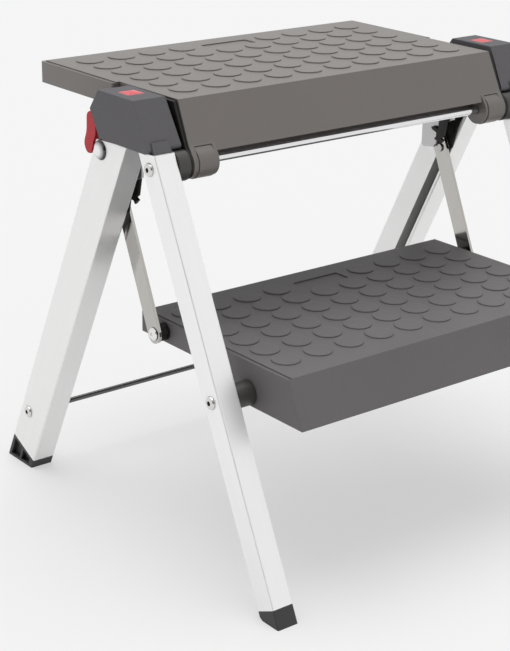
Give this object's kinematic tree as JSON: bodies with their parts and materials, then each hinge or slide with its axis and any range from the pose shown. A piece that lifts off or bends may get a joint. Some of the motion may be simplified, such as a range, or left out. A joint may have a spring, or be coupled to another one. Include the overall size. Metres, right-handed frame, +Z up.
{
  "type": "folding step stool",
  "caption": "Folding step stool: ribbed deck and lower step in dark plastic between aluminium legs that fold flat, with red release levers.",
  "frame": {"origin": "centre of the bounding box, on the floor under the middle of the open stool", "axes": "+X across the stool to the user's right as they face it, +Y away from the user towards the rear legs, +Z up"},
  "size_m": [0.496, 0.4736, 0.4444],
  "materials": {
    "dark_plastic": "fine moulded texture",
    "black_plastic": "satin moulded",
    "black_foot": "matt",
    "red_plastic": "satin gloss",
    "aluminium_front": "satin anodised, brushed along the tube",
    "aluminium_rear": "satin anodised, brushed along the tube",
    "chrome_rod": "polished",
    "bright_steel": "polished",
    "link_steel": "bright drawn",
    "bracket_steel": "zinc plated",
    "bar_steel": "dull drawn"
  },
  "bodies": {
    "front_frame": {"cap_marker_left": "red_plastic", "cap_marker_right": "red_plastic", "front_foot_left": "black_foot", "front_foot_right": "black_foot", "front_leg_left": "aluminium_front", "front_leg_right": "aluminium_front", "hinge_bolt_left": "bright_steel", "hinge_bolt_right": "bright_steel", "hinge_boss_left": "black_plastic", "hinge_boss_right": "black_plastic", "hinge_rod": "chrome_rod", "lever_pin_left": "bright_steel", "lever_pin_right": "bright_steel", "pivot_plate_left": "black_plastic", "pivot_plate_right": "black_plastic", "rear_pivot_left": "bright_steel", "rear_pivot_right": "bright_steel", "side_cap_left": "dark_plastic", "side_cap_right": "dark_plastic", "step_bolt_left": "bright_steel", "step_bolt_right": "bright_steel", "step_spacer_left": "black_plastic", "step_spacer_right": "black_plastic"},
    "deck": {"deck": "dark_plastic", "hinge_arm_left": "black_plastic", "hinge_arm_right": "black_plastic", "hinge_clip_left": "dark_plastic", "hinge_clip_right": "dark_plastic", "hook_pin_left": "bright_steel", "hook_pin_right": "bright_steel", "latch_bracket_left": "bracket_steel", "latch_bracket_right": "bracket_steel"},
    "lower_step": {"link_rivet_left": "bright_steel", "link_rivet_right": "bright_steel", "link_spacer_left": "black_plastic", "link_spacer_right": "black_plastic", "lower_step": "dark_plastic"},
    "link_left": {"link_left": "link_steel", "slot_pin_left": "bright_steel"},
    "link_right": {"link_right": "link_steel", "slot_pin_right": "bright_steel"},
    "rear_frame": {"crossbar": "bar_steel", "crossbar_nut_left": "bright_steel", "crossbar_nut_right": "bright_steel", "rear_foot_left": "black_foot", "rear_foot_right": "black_foot", "rear_leg_left": "aluminium_rear", "rear_leg_right": "aluminium_rear"},
    "lever_left": {"release_lever_left": "red_plastic"},
    "lever_right": {"release_lever_right": "red_plastic"},
    "latch_left": {"latch_hook_left": "black_plastic"},
    "latch_right": {"latch_hook_right": "black_plastic"}
  },
  "joints": [
    {"name": "deck_fold", "type": "hinge", "parent": "front_frame", "child": "deck", "pos_m": [0, -0.04124, 0.38318], "axis": [1, 0, 0], "range_deg": [0, 64.7]},
    {"name": "step_fold", "type": "hinge", "parent": "front_frame", "child": "lower_step", "pos_m": [0, -0.13503, 0.1871], "axis": [1, 0, 0], "range_deg": [0, 64.7]},
    {"name": "link_fold_left", "type": "hinge", "parent": "lower_step", "child": "link_left", "pos_m": [0, -0.00374, 0.20715], "axis": [1, 0, 0], "range_deg": [-98.51, 0]},
    {"name": "link_fold_right", "type": "hinge", "parent": "lower_step", "child": "link_right", "pos_m": [0, -0.00374, 0.20715], "axis": [1, 0, 0], "range_deg": [-98.51, 0]},
    {"name": "rear_fold", "type": "hinge", "parent": "front_frame", "child": "rear_frame", "pos_m": [0, 0.03864, 0.3849], "axis": [1, 0, 0], "range_deg": [-51.21, 0]},
    {"name": "lever_press_left", "type": "hinge", "parent": "front_frame", "child": "lever_left", "pos_m": [0, 0.04354, 0.4155], "axis": [1, 0, 0], "range_deg": [0, 10], "stiffness_Nm_per_rad": 0.05},
    {"name": "lever_press_right", "type": "hinge", "parent": "front_frame", "child": "lever_right", "pos_m": [0, 0.04354, 0.4155], "axis": [1, 0, 0], "range_deg": [0, 10], "stiffness_Nm_per_rad": 0.05},
    {"name": "latch_release_left", "type": "hinge", "parent": "deck", "child": "latch_left", "pos_m": [0, 0.03374, 0.365], "axis": [1, 0, 0], "range_deg": [0, 20]},
    {"name": "latch_release_right", "type": "hinge", "parent": "deck", "child": "latch_right", "pos_m": [0, 0.03374, 0.365], "axis": [1, 0, 0], "range_deg": [0, 20]}
  ],
  "couplings": [
    {"joint": "step_fold", "follows": "deck_fold", "ratio": 1},
    {"joint": "link_fold_left", "follows": "deck_fold", "ratio": -1.521},
    {"joint": "link_fold_right", "follows": "deck_fold", "ratio": -1.521},
    {"joint": "rear_fold", "follows": "deck_fold", "ratio": -0.79},
    {"joint": "latch_release_left", "follows": "lever_press_left", "ratio": 2},
    {"joint": "latch_release_right", "follows": "lever_press_right", "ratio": 2}
  ]
}
